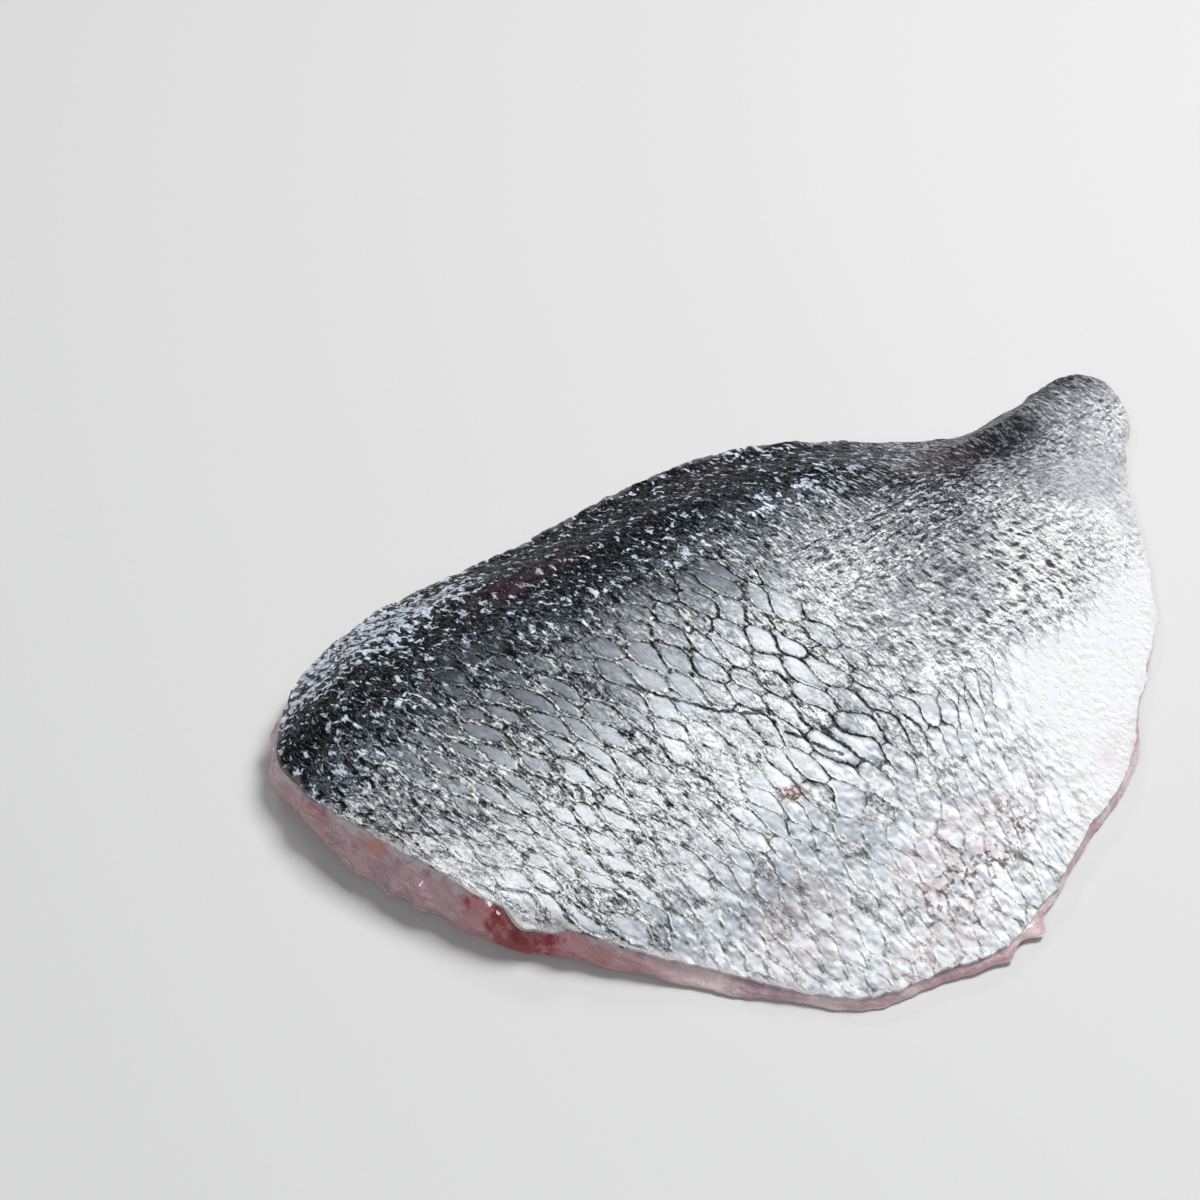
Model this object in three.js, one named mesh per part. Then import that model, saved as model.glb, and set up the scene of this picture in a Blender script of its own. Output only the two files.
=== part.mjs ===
// A raw barramundi fillet that lies on its flesh side with the skin up.
// Two pieces: the flesh, and the skin that covers the whole of its upper side.
// Units are millimetres. +X runs from the head cut to the tail, +Y to the back of the fish, +Z up.
// The origin is the middle of the footprint, on the surface that the fillet lies on.
import * as THREE from "three";

// ---- driving dimensions ----

const SKIN_THICKNESS = 0.8;
const SKIN_GAP = 0.3; // clear space between the skin and the flesh

// The skin's edge, once round the fillet: distance along the body from the head cut, distance
// across it towards the back, height of the edge, how far the flesh's foot stands out past it,
// and how high that foot curls off the surface.
const EDGE = [
  // back, from the nape to the tail
  { along: -2, across: 36, height: 9, reach: 3.5, curl: 4 },
  { along: 11, across: 48, height: 10, reach: 1.5, curl: 2.5 },
  { along: 27, across: 55, height: 10, reach: 1, curl: 1.5 },
  { along: 54, across: 55.5, height: 11, reach: 1, curl: 1 },
  { along: 80, across: 52.5, height: 11, reach: 1, curl: 0.8 },
  { along: 106, across: 51.5, height: 11.5, reach: 1, curl: 0.8 },
  { along: 133, across: 48, height: 11.5, reach: 1, curl: 0.8 },
  { along: 153, across: 40.5, height: 11, reach: 1, curl: 0.8 },
  { along: 173, across: 28, height: 8.5, reach: 1, curl: 0.8 },
  { along: 193, across: 16.5, height: 6, reach: 0.8, curl: 0.8 },
  { along: 217, across: 15.5, height: 5, reach: 0.8, curl: 0.8 },
  // tail cut
  { along: 239.5, across: 15.5, height: 4.2, reach: 0.8, curl: 0.6 },
  { along: 244, across: 9, height: 3.8, reach: 0.8, curl: 0.6 },
  { along: 239, across: -3, height: 3.4, reach: 0.8, curl: 0.5 },
  { along: 228.5, across: -11, height: 2.8, reach: 0.6, curl: 0.5 },
  // belly, from the tail to the throat
  { along: 215, across: -22, height: 2.8, reach: 0.6, curl: 0.6 },
  { along: 204, across: -34, height: 2.8, reach: 0.6, curl: 0.6 },
  { along: 192, across: -47, height: 2.8, reach: 0.6, curl: 0.7 },
  { along: 175, across: -61, height: 3, reach: 0.6, curl: 1 },
  { along: 155, across: -72, height: 3, reach: 0.8, curl: 0.6 },
  { along: 136, across: -84, height: 3.2, reach: 1, curl: 0.9 },
  { along: 112, across: -90.5, height: 3.2, reach: 0.8, curl: 0.5 },
  { along: 90, across: -97, height: 3.2, reach: 1.2, curl: 1.2 },
  { along: 75, across: -98.5, height: 3, reach: 1.2, curl: 1 },
  { along: 60, across: -94, height: 2.8, reach: 1.2, curl: 0.5 },
  // throat and head cut, back to the nape
  { along: 46, across: -89, height: 2.8, reach: 1.2, curl: 0.5 },
  { along: 35, across: -76, height: 3.2, reach: 1.4, curl: 0.6 },
  { along: 25, across: -61, height: 4.4, reach: 1.8, curl: 0.8 },
  { along: 15, across: -46, height: 7.5, reach: 1.8, curl: 1.4 },
  { along: 6, across: -33, height: 10.5, reach: 1.8, curl: 2 },
  { along: 1, across: -20, height: 12, reach: 2.2, curl: 3 },
  { along: -2, across: -5, height: 13.5, reach: 3.5, curl: 4 },
  { along: -4.5, across: 9, height: 13, reach: 4, curl: 4.8 },
  { along: -3.5, across: 24, height: 11, reach: 2, curl: 5 },
];

// The middle that the rings of the mesh close on.
const CENTRE = { along: 100, across: -18 };

// Height of the skin away from its edge: a level floor and three smooth mounds of muscle.
const LEAST_CROWN = 5;
const MOUNDS = [
  { along: 50, across: 20, length: 72, width: 33, height: 18 }, // back
  { along: 90, across: -45, length: 52, width: 30, height: 4.5 }, // flank
  { along: 152, across: 2, length: 38, width: 28, height: 7.5 }, // tail muscle
];

// Shallow furrows in the skin, each from one point to another.
const FURROWS = [
  { from: [34, 38], to: [100, 25], depth: 1.3, width: 5 }, // foot of the back fin
  { from: [168, 14], to: [205, -3], depth: 1.6, width: 6 }, // below the tail's ridge
  { from: [30, -48], to: [150, -52], depth: 0.9, width: 9 }, // upper edge of the belly
];

// Width of the rounded shoulder inside the edge, at the back, head and belly, and the stretches
// of the edge over which it changes: towards the belly, and along the body for the head.
const SHOULDER_WIDTH = { back: 24, head: 15, belly: 42 };
const BELLY_BLEND = { from: 10, to: 75 };
const HEAD_BLEND = { from: 0, to: 45 };

const FLAT_FROM = 0.13; // share of the way to the middle where the underside is flat
const CUT_BULGE = 0.9; // how far the cut faces swell between skin and foot

// ---- mesh resolution ----

const STEPS_PER_EDGE_POINT = 3;
const AROUND = EDGE.length * STEPS_PER_EDGE_POINT;
const TOP_RINGS = 12; // from the middle of the skin to its edge
const CUT_RINGS = 4;
const UNDERSIDE_SHARES = [0.02, 0.045, 0.08, FLAT_FROM, 0.4, 0.7, 1];
const RING_CROWDING = 0.9; // below 1 the rings crowd less towards the edge
const LEVEL_UP_TO = 0.05; // share of the way to the edge where the skin counts as level
const SLOPE_STEP = 1e-3; // share of a turn, or of the way to the edge, that a slope is taken over

const FLESH_COLOUR = 0xe2b4ad;
const SKIN_COLOUR = 0x8d9395;

// ---- the skin's surface ----

// A closed curve through one value of every edge point; u runs from 0 to 1 round the fillet.
function edgeCurve(toVector) {
  return new THREE.CatmullRomCurve3(EDGE.map(toVector), true, "centripetal");
}

const edgeLine = edgeCurve((p) => new THREE.Vector3(p.along, p.across, p.height));
const footLine = edgeCurve((p, i) => {
  const before = EDGE[(i + EDGE.length - 1) % EDGE.length];
  const after = EDGE[(i + 1) % EDGE.length];
  const out = new THREE.Vector2(before.across - after.across, after.along - before.along);
  out.normalize().multiplyScalar(p.reach);
  return new THREE.Vector3(p.along + out.x, p.across + out.y, p.curl);
});

function mound(m, along, across) {
  const a = (along - m.along) / m.length;
  const b = (across - m.across) / m.width;
  return m.height * Math.exp(-(a * a + b * b) / 2);
}

function furrow(f, along, across) {
  const line = new THREE.Line3(new THREE.Vector3(...f.from, 0), new THREE.Vector3(...f.to, 0));
  const point = new THREE.Vector3(along, across, 0);
  const nearest = line.closestPointToPoint(point, true, new THREE.Vector3());
  const away = nearest.distanceTo(point) / f.width;
  return f.depth * Math.exp((-away * away) / 2);
}

function crown(along, across) {
  const raised = MOUNDS.reduce((sum, m) => sum + mound(m, along, across), LEAST_CROWN);
  return FURROWS.reduce((sum, f) => sum - furrow(f, along, across), raised);
}

// The shoulder is narrow at the back and the head and wide at the thin belly.
function shoulderWidth(edge) {
  const belly = THREE.MathUtils.smoothstep(-edge.y, BELLY_BLEND.from, BELLY_BLEND.to);
  const head = 1 - THREE.MathUtils.smoothstep(edge.x, HEAD_BLEND.from, HEAD_BLEND.to);
  const upper = THREE.MathUtils.lerp(SHOULDER_WIDTH.back, SHOULDER_WIDTH.head, head);
  return THREE.MathUtils.lerp(upper, SHOULDER_WIDTH.belly, belly);
}

// Outer surface of the skin: u round the fillet, r from 0 in the middle to 1 at the edge.
function skinPoint(u, r) {
  const edge = edgeLine.getPoint(u);
  const along = THREE.MathUtils.lerp(CENTRE.along, edge.x, r);
  const across = THREE.MathUtils.lerp(CENTRE.across, edge.y, r);
  const inside = Math.hypot(edge.x - along, edge.y - across);
  const rise = Math.sin((Math.PI / 2) * Math.min(1, inside / shoulderWidth(edge)));
  return new THREE.Vector3(along, across, THREE.MathUtils.lerp(edge.z, crown(along, across), rise));
}

// The same surface, moved squarely down into the fillet by a depth.
function underSkin(u, r, depth) {
  const point = skinPoint(u, r);
  const down = new THREE.Vector3(0, 0, -1);
  if (r > LEVEL_UP_TO) {
    const onward = skinPoint((u + SLOPE_STEP) % 1, r).sub(point);
    const outward = point.clone().sub(skinPoint(u, r - SLOPE_STEP));
    down.crossVectors(onward, outward).normalize();
    if (down.z > 0) down.negate();
  }
  return point.addScaledVector(down, depth);
}

// Share of the way from the middle to the edge for each ring, closer together near the edge.
function ringShare(ring, rings) {
  return Math.sin(((Math.PI / 2) * ring) / rings) ** RING_CROWDING;
}

// ---- the pieces ----

// A sphere whose rings are pulled onto a surface: place(u, ring) gives each corner's position.
function wrappedSphere(rings, place) {
  const geometry = new THREE.SphereGeometry(1, AROUND, rings);
  const corners = geometry.getAttribute("position");
  const uv = geometry.getAttribute("uv");
  for (let i = 0; i < corners.count; i += 1) {
    const ring = Math.round((1 - uv.getY(i)) * rings);
    const atPole = ring === 0 || ring === rings;
    const u = atPole ? 0 : 1 - (Math.round(uv.getX(i) * AROUND) % AROUND) / AROUND;
    const point = place(u % 1, ring);
    corners.setXYZ(i, point.x, point.y, point.z);
  }
  geometry.computeVertexNormals();
  return geometry;
}

function skinGeometry() {
  const rings = 2 * TOP_RINGS + 1;
  return wrappedSphere(rings, (u, ring) => {
    const outer = ring <= TOP_RINGS;
    const share = ringShare(outer ? ring : rings - ring, TOP_RINGS);
    return underSkin(u, share, outer ? 0 : SKIN_THICKNESS);
  });
}

function fleshGeometry() {
  const rings = TOP_RINGS + CUT_RINGS + UNDERSIDE_SHARES.length;
  const depth = SKIN_THICKNESS + SKIN_GAP;
  return wrappedSphere(rings, (u, ring) => {
    if (ring <= TOP_RINGS) return underSkin(u, ringShare(ring, TOP_RINGS), depth);
    const foot = footLine.getPoint(u);
    const outward = new THREE.Vector3(foot.x - CENTRE.along, foot.y - CENTRE.across, 0).normalize();
    if (ring <= TOP_RINGS + CUT_RINGS) {
      const down = (ring - TOP_RINGS) / CUT_RINGS;
      const swell = CUT_BULGE * Math.sin(Math.PI * down);
      return underSkin(u, 1, depth).lerp(foot, down).addScaledVector(outward, swell);
    }
    const inward = UNDERSIDE_SHARES[ring - TOP_RINGS - CUT_RINGS - 1];
    const still = Math.max(0, 1 - inward / FLAT_FROM);
    return new THREE.Vector3(
      THREE.MathUtils.lerp(foot.x, CENTRE.along, inward),
      THREE.MathUtils.lerp(foot.y, CENTRE.across, inward),
      foot.z * still * still,
    );
  });
}

function piece(name, geometry, material) {
  const mesh = new THREE.Mesh(geometry, material);
  mesh.name = name;
  return mesh;
}

const fillet = new THREE.Group();
fillet.add(
  piece(
    "flesh",
    fleshGeometry(),
    new THREE.MeshStandardMaterial({ color: FLESH_COLOUR, roughness: 0.35, metalness: 0 }),
  ),
  piece(
    "skin",
    skinGeometry(),
    new THREE.MeshStandardMaterial({ color: SKIN_COLOUR, roughness: 0.3, metalness: 0.2 }),
  ),
);

// Centre the footprint on the origin.
const bounds = new THREE.Box3().setFromObject(fillet);
const middle = bounds.getCenter(new THREE.Vector3());
fillet.position.set(-middle.x, -middle.y, -bounds.min.z);

export default fillet;
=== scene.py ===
"""A raw skin-on barramundi fillet that lies on its flesh side with the skin up.

The shape is worked out in the body's own coordinates, in millimetres: `along` runs from the head
cut to the tail, `across` from the belly to the back, and height is measured from the surface that
the fillet lies on. Meshes are handed to Blender in metres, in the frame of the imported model.
"""
import math
from types import SimpleNamespace

import bpy
import numpy as np
from mathutils import Matrix, Vector
from mathutils.geometry import delaunay_2d_cdt


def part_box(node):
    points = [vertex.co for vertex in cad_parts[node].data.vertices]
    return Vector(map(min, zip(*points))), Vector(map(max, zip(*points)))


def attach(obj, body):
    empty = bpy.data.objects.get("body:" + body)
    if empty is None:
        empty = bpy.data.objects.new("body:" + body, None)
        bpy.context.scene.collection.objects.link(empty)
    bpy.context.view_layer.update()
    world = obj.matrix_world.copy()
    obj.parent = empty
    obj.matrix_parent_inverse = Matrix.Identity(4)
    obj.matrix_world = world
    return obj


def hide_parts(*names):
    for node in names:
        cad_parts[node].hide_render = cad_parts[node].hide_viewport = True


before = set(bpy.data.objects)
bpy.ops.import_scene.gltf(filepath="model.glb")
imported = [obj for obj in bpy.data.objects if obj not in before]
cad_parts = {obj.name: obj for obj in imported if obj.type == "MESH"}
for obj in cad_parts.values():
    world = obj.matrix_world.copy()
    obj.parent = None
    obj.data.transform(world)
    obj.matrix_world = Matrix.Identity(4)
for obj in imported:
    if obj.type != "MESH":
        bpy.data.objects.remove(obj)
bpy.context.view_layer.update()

MM = 0.001  # one millimetre in metres

# ---- driving dimensions, in millimetres ----

# The skin's edge, once round the fillet: along, across, height of the edge, how far the flesh's
# foot stands out past it, and how high that foot curls off the surface.
EDGE = [
    # back, from the nape to the tail
    (-2.5, 36, 9, 1.6, 3),
    (11, 48, 10, 1.5, 2.5),
    (27, 55, 10, 1, 1.5),
    (54, 55.5, 11, 1, 1),
    (80, 52.5, 11, 1, 0.8),
    (106, 51.5, 11.5, 1, 0.8),
    (133, 48, 11.5, 1, 0.8),
    (153, 40.5, 11, 1, 0.8),
    (173, 28, 8.5, 1, 0.8),
    (193, 16.5, 6, 0.8, 0.8),
    (217, 15.5, 5, 0.8, 0.8),
    # tail cut
    (239.5, 15.5, 4.2, 0.8, 0.6),
    (244, 9, 3.8, 0.8, 0.6),
    (239, -3, 3.4, 0.8, 0.5),
    (228.5, -11, 2.4, 0.1, 0.5),
    # belly, from the tail to the throat
    (215, -22, 2.2, 0, 0.5),
    (204, -34, 2.1, 0, 0.5),
    (192, -47, 2.1, 0, 0.5),
    (175, -61, 2.3, 0, 0.6),
    (155, -72, 2.5, 0.2, 0.5),
    (136, -84, 3.2, 1, 0.9),
    (112, -90.5, 3.2, 0.8, 0.5),
    (90, -97, 3.2, 1.2, 1.2),
    (75, -98.5, 3, 1.2, 1),
    (60, -94, 2.8, 1.2, 0.5),
    # throat and head cut, back to the nape
    (46, -89, 2.8, 1.2, 0.5),
    (35, -76, 3.2, 1.4, 0.6),
    (25, -61, 4.4, 1.8, 0.8),
    (15, -46, 7.5, 1.8, 1.4),
    (6, -33, 10.5, 1.8, 2),
    (1, -20, 12, 2.2, 3),
    (-2.5, -5, 13.2, 3, 3.6),
    (-5.5, 9, 12.6, 2.6, 4),
    (-5, 24, 10.4, 1.4, 4),
]
CENTRE = (100, -18)  # the middle that the shoulder is measured from

# Height of the skin away from its edge: a level floor and three mounds of muscle, each with its
# place (along, across), its spread (length, width) and its height.
LEAST_CROWN = 5
MOUNDS = [
    (50, 20, 72, 33, 18),  # back
    (90, -45, 52, 30, 4.5),  # flank
    (152, 2, 38, 28, 7.5),  # tail muscle
]
# Shallow furrows: from, to, depth, width.
FURROWS = [
    ((34, 38), (100, 25), 1.3, 5),  # foot of the back fin
    ((168, 14), (205, -3), 1.6, 6),  # below the tail's ridge
    ((30, -48), (150, -52), 0.9, 9),  # upper edge of the belly
]
SHOULDER_WIDTH = {"back": 24, "head": 15, "belly": 42}
SKIN_FLAP = ((7, -36), (3, 3.5), 2.8)  # drooping skin at the head cut: place, size and drop
# Bulges that stand out of an edge: place, how far they stand out, and their half width.
SKIN_BULGES = [((5, -34), 2.4, 2.6), ((97, -95), 0.8, 2)]
FLESH_BULGES = [
    ((-8, 4), 0.9, 3),
    ((-5, -6), 1.6, 2.6),
    ((-3, -13), 1.8, 2.4),
    ((0, -22), 1.2, 3),
    ((2, -32), 0.8, 4),
    ((76, -100), 1.8, 2.2),
    ((86, -99), 2.6, 2.4),
    ((146, -79), 1.0, 6),
]
SKIN_THICKNESS = 0.8

# Scale pockets stand in columns across the body. The distance between columns changes along the
# body and a pocket's height across it, and both shrink towards the tail.
POCKET_COLUMN = [
    (-10, 2.7), (20, 2.9), (40, 3.2), (58, 3.7), (75, 4), (102, 3.9), (124, 3.2), (170, 2.7), (245, 2.4)
]
POCKET_HEIGHT = [(-105, 9), (-64, 10), (-48, 11.5), (2, 11.5), (14, 9.5), (28, 7), (60, 5.5)]
TAIL_SHRINK = [(-10, 1), (98, 1), (124, 0.66), (170, 0.52), (245, 0.42)]
LEVEL_ROW = -14  # across, the row that runs straight to the tail
COLUMN_LEAN = 0.15  # millimetres along the body for each millimetre across it
COLUMN_LEAN_AT_HEAD = 0.13  # as much more beside the head cut
COLUMN_LEAN_AT_BELLY = 0.42  # the other way, below the bend
LEANING = (-50, 24)  # across, the stretch over which the columns lean
LEAN_PIVOT = -12  # across, where a leaning column stays in its place
BELLY_BEND = -46  # across, where the columns bend back

# Fine mesh: distance between corners.
EDGE_STEP = 0.5
SKIN_STEP = 0.57
UNDERSIDE_STEP = 0.95
HIDDEN_STEP = 4.0
WALL_ROWS = 16
CREASE_ANGLE = math.radians(60)  # faces that meet more steeply than this show a sharp edge


# ---- numbers that are either arrays or shader values ----


class Field:
    """A value in a material's node tree that takes part in arithmetic like a number."""

    def __init__(self, tree, socket):
        self.tree = tree
        self.socket = socket

    def math(self, operation, *others, clamp=False):
        node = self.tree.nodes.new("ShaderNodeMath")
        node.operation = operation
        node.use_clamp = clamp
        for slot, value in zip(node.inputs, (self, *others)):
            plug(self.tree, slot, value)
        return Field(self.tree, node.outputs[0])

    def __add__(self, other):
        return self.math("ADD", other)

    def __sub__(self, other):
        return self.math("SUBTRACT", other)

    def __mul__(self, other):
        return self.math("MULTIPLY", other)

    def __truediv__(self, other):
        return self.math("DIVIDE", other)

    def __rsub__(self, other):
        return self * -1 + other

    def __neg__(self):
        return self * -1

    def __abs__(self):
        return self.math("ABSOLUTE")

    __radd__ = __add__
    __rmul__ = __mul__


def plug(tree, slot, value):
    """Sets a node's input to a number or colour, or links it to a Field."""
    if isinstance(value, Field):
        tree.links.new(value.socket, slot)
    else:
        slot.default_value = value


def floor(x):
    return x.math("FLOOR") if isinstance(x, Field) else np.floor(x)


def cosine(x):
    return x.math("COSINE") if isinstance(x, Field) else np.cos(x)


def below(a, b):
    """1 where a is less than b, else 0."""
    return a.math("LESS_THAN", b) if isinstance(a, Field) else (a < b).astype(float)


def choose(mask, if_one, if_zero):
    return if_zero + mask * (if_one - if_zero)


def clamp01(x):
    return x.math("ADD", 0.0, clamp=True) if isinstance(x, Field) else np.clip(x, 0, 1)


def smooth(low, high, x):
    """0 below low, 1 above high, and a smooth step between."""
    t = clamp01((x - low) * (1 / (high - low)))
    return t * t * (3 - 2 * t)


def between(rise, fall, x):
    """1 inside a band that starts over the stretch `rise` and ends over `fall`, 0 outside it."""
    return smooth(*rise, x) * (1 - smooth(*fall, x))


def lerp(a, b, t):
    return a + (b - a) * t


# ---- noise on arrays ----


def lattice_hash(*whole, seed=0):
    """A number from 0 to 1 for each corner of a whole-numbered grid."""
    mixed = np.full(whole[0].shape, 2166136261 + seed * 7919, np.uint64)
    mask = np.uint64(0xFFFFFFFF)
    for axis, value in enumerate(whole):
        word = (value.astype(np.int64) + 32768 * (axis + 1)).astype(np.uint64)
        mixed = ((mixed ^ word) * np.uint64(2654435761)) & mask
        mixed ^= mixed >> np.uint64(15)
    mixed = (mixed * np.uint64(2246822519)) & mask
    mixed ^= mixed >> np.uint64(13)
    return mixed.astype(float) / 4294967295.0


def noise(size, *coordinates, seed=0):
    """Smooth noise from -1 to 1 with features about `size` across, on any number of axes."""
    scaled = [np.asarray(c, float) / size for c in coordinates]
    base = [np.floor(c) for c in scaled]
    part = [smooth(0, 1, c - b) for c, b in zip(scaled, base)]
    total = 0
    for corner in range(2 ** len(scaled)):
        bits = [(corner >> axis) & 1 for axis in range(len(scaled))]
        weight = 1
        for bit, share in zip(bits, part):
            weight = weight * (share if bit else 1 - share)
        total = total + weight * lattice_hash(*[b + bit for b, bit in zip(base, bits)], seed=seed)
    return total * 2 - 1


# ---- the edge ----


def closed_curve(points, steps):
    """Centripetal Catmull-Rom curve round a closed list of 3-D points."""
    points = np.asarray(points, float)
    before, start = np.roll(points, 1, 0), points
    end, after = np.roll(points, -1, 0), np.roll(points, -2, 0)
    gap0, gap1, gap2 = (
        np.sqrt(np.linalg.norm(b - a, axis=1))[:, None]
        for a, b in ((before, start), (start, end), (end, after))
    )
    leave = ((start - before) / gap0 - (end - before) / (gap0 + gap1) + (end - start) / gap1) * gap1
    arrive = ((end - start) / gap1 - (after - start) / (gap1 + gap2) + (after - end) / gap2) * gap1
    t = (np.arange(steps) / steps)[None, :, None]
    start, end, leave, arrive = (v[:, None, :] for v in (start, end, leave, arrive))
    curve = (
        (2 * t**3 - 3 * t**2 + 1) * start
        + (t**3 - 2 * t**2 + t) * leave
        + (3 * t**2 - 2 * t**3) * end
        + (t**3 - t**2) * arrive
    )
    return curve.reshape(-1, 3)


def outward_of(loop):
    """Level unit vectors that point out of a closed loop that runs clockwise from above."""
    onward = np.roll(loop, -1, 0) - np.roll(loop, 1, 0)
    out = np.stack([-onward[:, 1], onward[:, 0]], 1)
    return out / np.linalg.norm(out, axis=1)[:, None]


def make_edge_lines():
    """The skin's edge and the flesh's foot as matching loops of points, close together."""
    table = np.array(EDGE, float)
    edge = table[:, :3]
    foot = edge.copy()
    foot[:, :2] += outward_of(edge[:, :2]) * table[:, 3:4]
    foot[:, 2] = table[:, 4]
    steps = 60
    edge, foot = closed_curve(edge, steps), closed_curve(foot, steps)
    ends = np.vstack([edge, edge[:1]])
    length = np.concatenate([[0], np.cumsum(np.linalg.norm(np.diff(ends, axis=0), axis=1))])
    count = int(length[-1] / EDGE_STEP)
    wanted = np.arange(count) * length[-1] / count
    feet = np.vstack([foot, foot[:1]])
    even = [np.stack([np.interp(wanted, length, v[:, k]) for k in range(3)], 1) for v in (ends, feet)]
    return even[0], even[1]


edge_line, foot_line = make_edge_lines()
edge_out = outward_of(edge_line[:, :2])


def from_middle(along, across):
    """Direction and distance from the middle."""
    x, y = along - CENTRE[0], across - CENTRE[1]
    return np.arctan2(y, x), np.hypot(x, y)


def toward(along, across, loop, values):
    """The values of a loop's points in the direction, from the middle, of each given point."""
    angle = from_middle(*loop[:, :2].T)[0]
    order = np.argsort(angle)
    own_angle = from_middle(along, across)[0]
    return np.interp(own_angle, angle[order], values[order], period=2 * math.pi)


def origin_of_body():
    """Where the body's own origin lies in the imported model's frame, in millimetres."""
    low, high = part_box("skin")
    middle = (edge_line[:, :2].min(0) + edge_line[:, :2].max(0)) / 2
    return np.array([(low.x + high.x) / 2, (low.y + high.y) / 2]) / MM - middle


BODY_ORIGIN = origin_of_body()


# ---- the skin's surface ----


def edge_toward(along, across):
    """The edge point in the same direction from the middle as each given point."""
    return [toward(along, across, edge_line, values) for values in edge_line.T]


def crown(along, across):
    height = LEAST_CROWN
    for at_along, at_across, length, width, rise in MOUNDS:
        away = ((along - at_along) / length) ** 2 + ((across - at_across) / width) ** 2
        height = height + rise * np.exp(-away / 2)
    for start, end, depth, width in FURROWS:
        height = height - depth * np.exp(-squared_distance(along, across, start, end) / (2 * width**2))
    return height


def squared_distance(along, across, start, end):
    """Square of the distance from a straight line between two places."""
    way = (end[0] - start[0], end[1] - start[1])
    dot = (along - start[0]) * way[0] + (across - start[1]) * way[1]
    share = clamp01(dot * (1 / (way[0] ** 2 + way[1] ** 2)))
    x, y = along - start[0] - share * way[0], across - start[1] - share * way[1]
    return x * x + y * y


def shoulder_width(edge_along, edge_across):
    """The rounded shoulder is narrow at the back and the head and wide at the thin belly."""
    belly = smooth(10, 75, -edge_across)
    head = 1 - smooth(0, 45, edge_along)
    upper = lerp(SHOULDER_WIDTH["back"], SHOULDER_WIDTH["head"], head)
    return lerp(upper, SHOULDER_WIDTH["belly"], belly)


def inside_edge(along, across):
    """Distance from the skin's edge, measured towards the middle."""
    edge_along, edge_across, _ = edge_toward(along, across)
    reach = from_middle(edge_along, edge_across)[1]
    return np.maximum(0, reach - from_middle(along, across)[1])


def flap_droop(along, across):
    """How far the skin hangs down at the loose flap beside the head cut."""
    place, size, drop = SKIN_FLAP
    return drop * mark(along, across, place, size) * (1 - smooth(0, 5, inside_edge(along, across)))


def skin_height(along, across):
    edge_along, edge_across, edge_height = edge_toward(along, across)
    share = np.minimum(1, inside_edge(along, across) / shoulder_width(edge_along, edge_across))
    height = lerp(edge_height, crown(along, across), np.sin(math.pi / 2 * share))
    return height - flap_droop(along, across)


def surface_normal(height, along, across):
    """Unit normals of a height function."""
    step = 0.4
    slope_along = (height(along + step, across) - height(along - step, across)) / (2 * step)
    slope_across = (height(along, across + step) - height(along, across - step)) / (2 * step)
    normal = np.stack([-slope_along, -slope_across, np.ones_like(slope_along)], 1)
    return normal / np.linalg.norm(normal, axis=1)[:, None]


# ---- the scale pockets ----


def along_profile(profile, x):
    return np.interp(x, *np.array(profile, float).T)


def count_of(profile, x, zero):
    """How many steps of the profile's varying size fit between zero and x."""
    fine = np.linspace(profile[0][0] - 20, profile[-1][0] + 20, 2000)
    total = np.concatenate([[0], np.cumsum(np.diff(fine) / along_profile(profile, fine[:-1]))])
    return np.interp(x, fine, total) - np.interp(zero, fine, total)


def pocket_lattice(along, across):
    """Column and row of each point in the lattice of scale pockets, and the size of its cells."""
    drift = 1.5 * noise(14, along, across, seed=11) + 0.9 * noise(6, along, across * 0.5, seed=12)
    lift = 2.2 * noise(12, along, across, seed=13) + 1.2 * noise(5.5, along, across, seed=14)
    lean = COLUMN_LEAN + COLUMN_LEAN_AT_HEAD * (1 - smooth(40, 75, along))
    lean = lean * (np.clip(across, *LEANING) - LEAN_PIVOT)
    belly_lean = COLUMN_LEAN_AT_BELLY * (0.35 + 0.65 * smooth(72, 116, along))
    belly_lean = belly_lean * np.maximum(0, BELLY_BEND - across)
    column = count_of(POCKET_COLUMN, along + drift + belly_lean + lean, 0)
    shrink = along_profile(TAIL_SHRINK, along)
    row = count_of(POCKET_HEIGHT, across + lift, LEVEL_ROW) / shrink
    width, tall = along_profile(POCKET_COLUMN, along), along_profile(POCKET_HEIGHT, across) * shrink
    return {"column": column, "row": row, "width": width, "tall": tall}


def column_start(column):
    """Where a column's pockets start, in rows: about half a row on from the column before."""
    return column * 0.5 + 0.17 * cosine(column * 2.4)


def bulge(column, row):
    """0.5 beside the middle of a column's pockets and -0.5 beside their ends."""
    return 0.5 * cosine((row - column_start(column)) * (2 * math.pi))


def pocket_cell(column, row, swell):
    """The scale pocket at a point of the lattice, on arrays and on shader values alike.

    Pockets stand end to end in columns that run across the body. The sides of a column are wavy
    by `swell` of a column, so that a pocket is widest at its middle. Returns the point's place in
    its pocket along the body and its distance from the nearest side (above 0 on the tail's side
    of it), both in columns, its distance from the nearer end in rows, and two numbers that name
    the pocket.
    """
    middle = floor(column + 0.5)
    off = column - middle
    wave = bulge(middle, row)
    after = 0.5 + swell * (wave - bulge(middle + 1, row))
    before = -0.5 - swell * (wave - bulge(middle - 1, row))
    own_column = middle + below(after, off) - below(off, before)
    place = row - column_start(own_column)
    own_row = floor(place + 0.5)
    past_after, past_before = off - after, off - before
    beside = choose(below(abs(past_after), abs(past_before)), past_after, past_before)
    return column - own_column, beside, 0.5 - abs(place - own_row), own_column, own_row


def rounded(side, end):
    """Distance from a pocket's outline whose corners are rounded, from the two distances."""
    return side * end / (side + end + 0.001)


# ---- where on the skin each look shows ----

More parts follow.
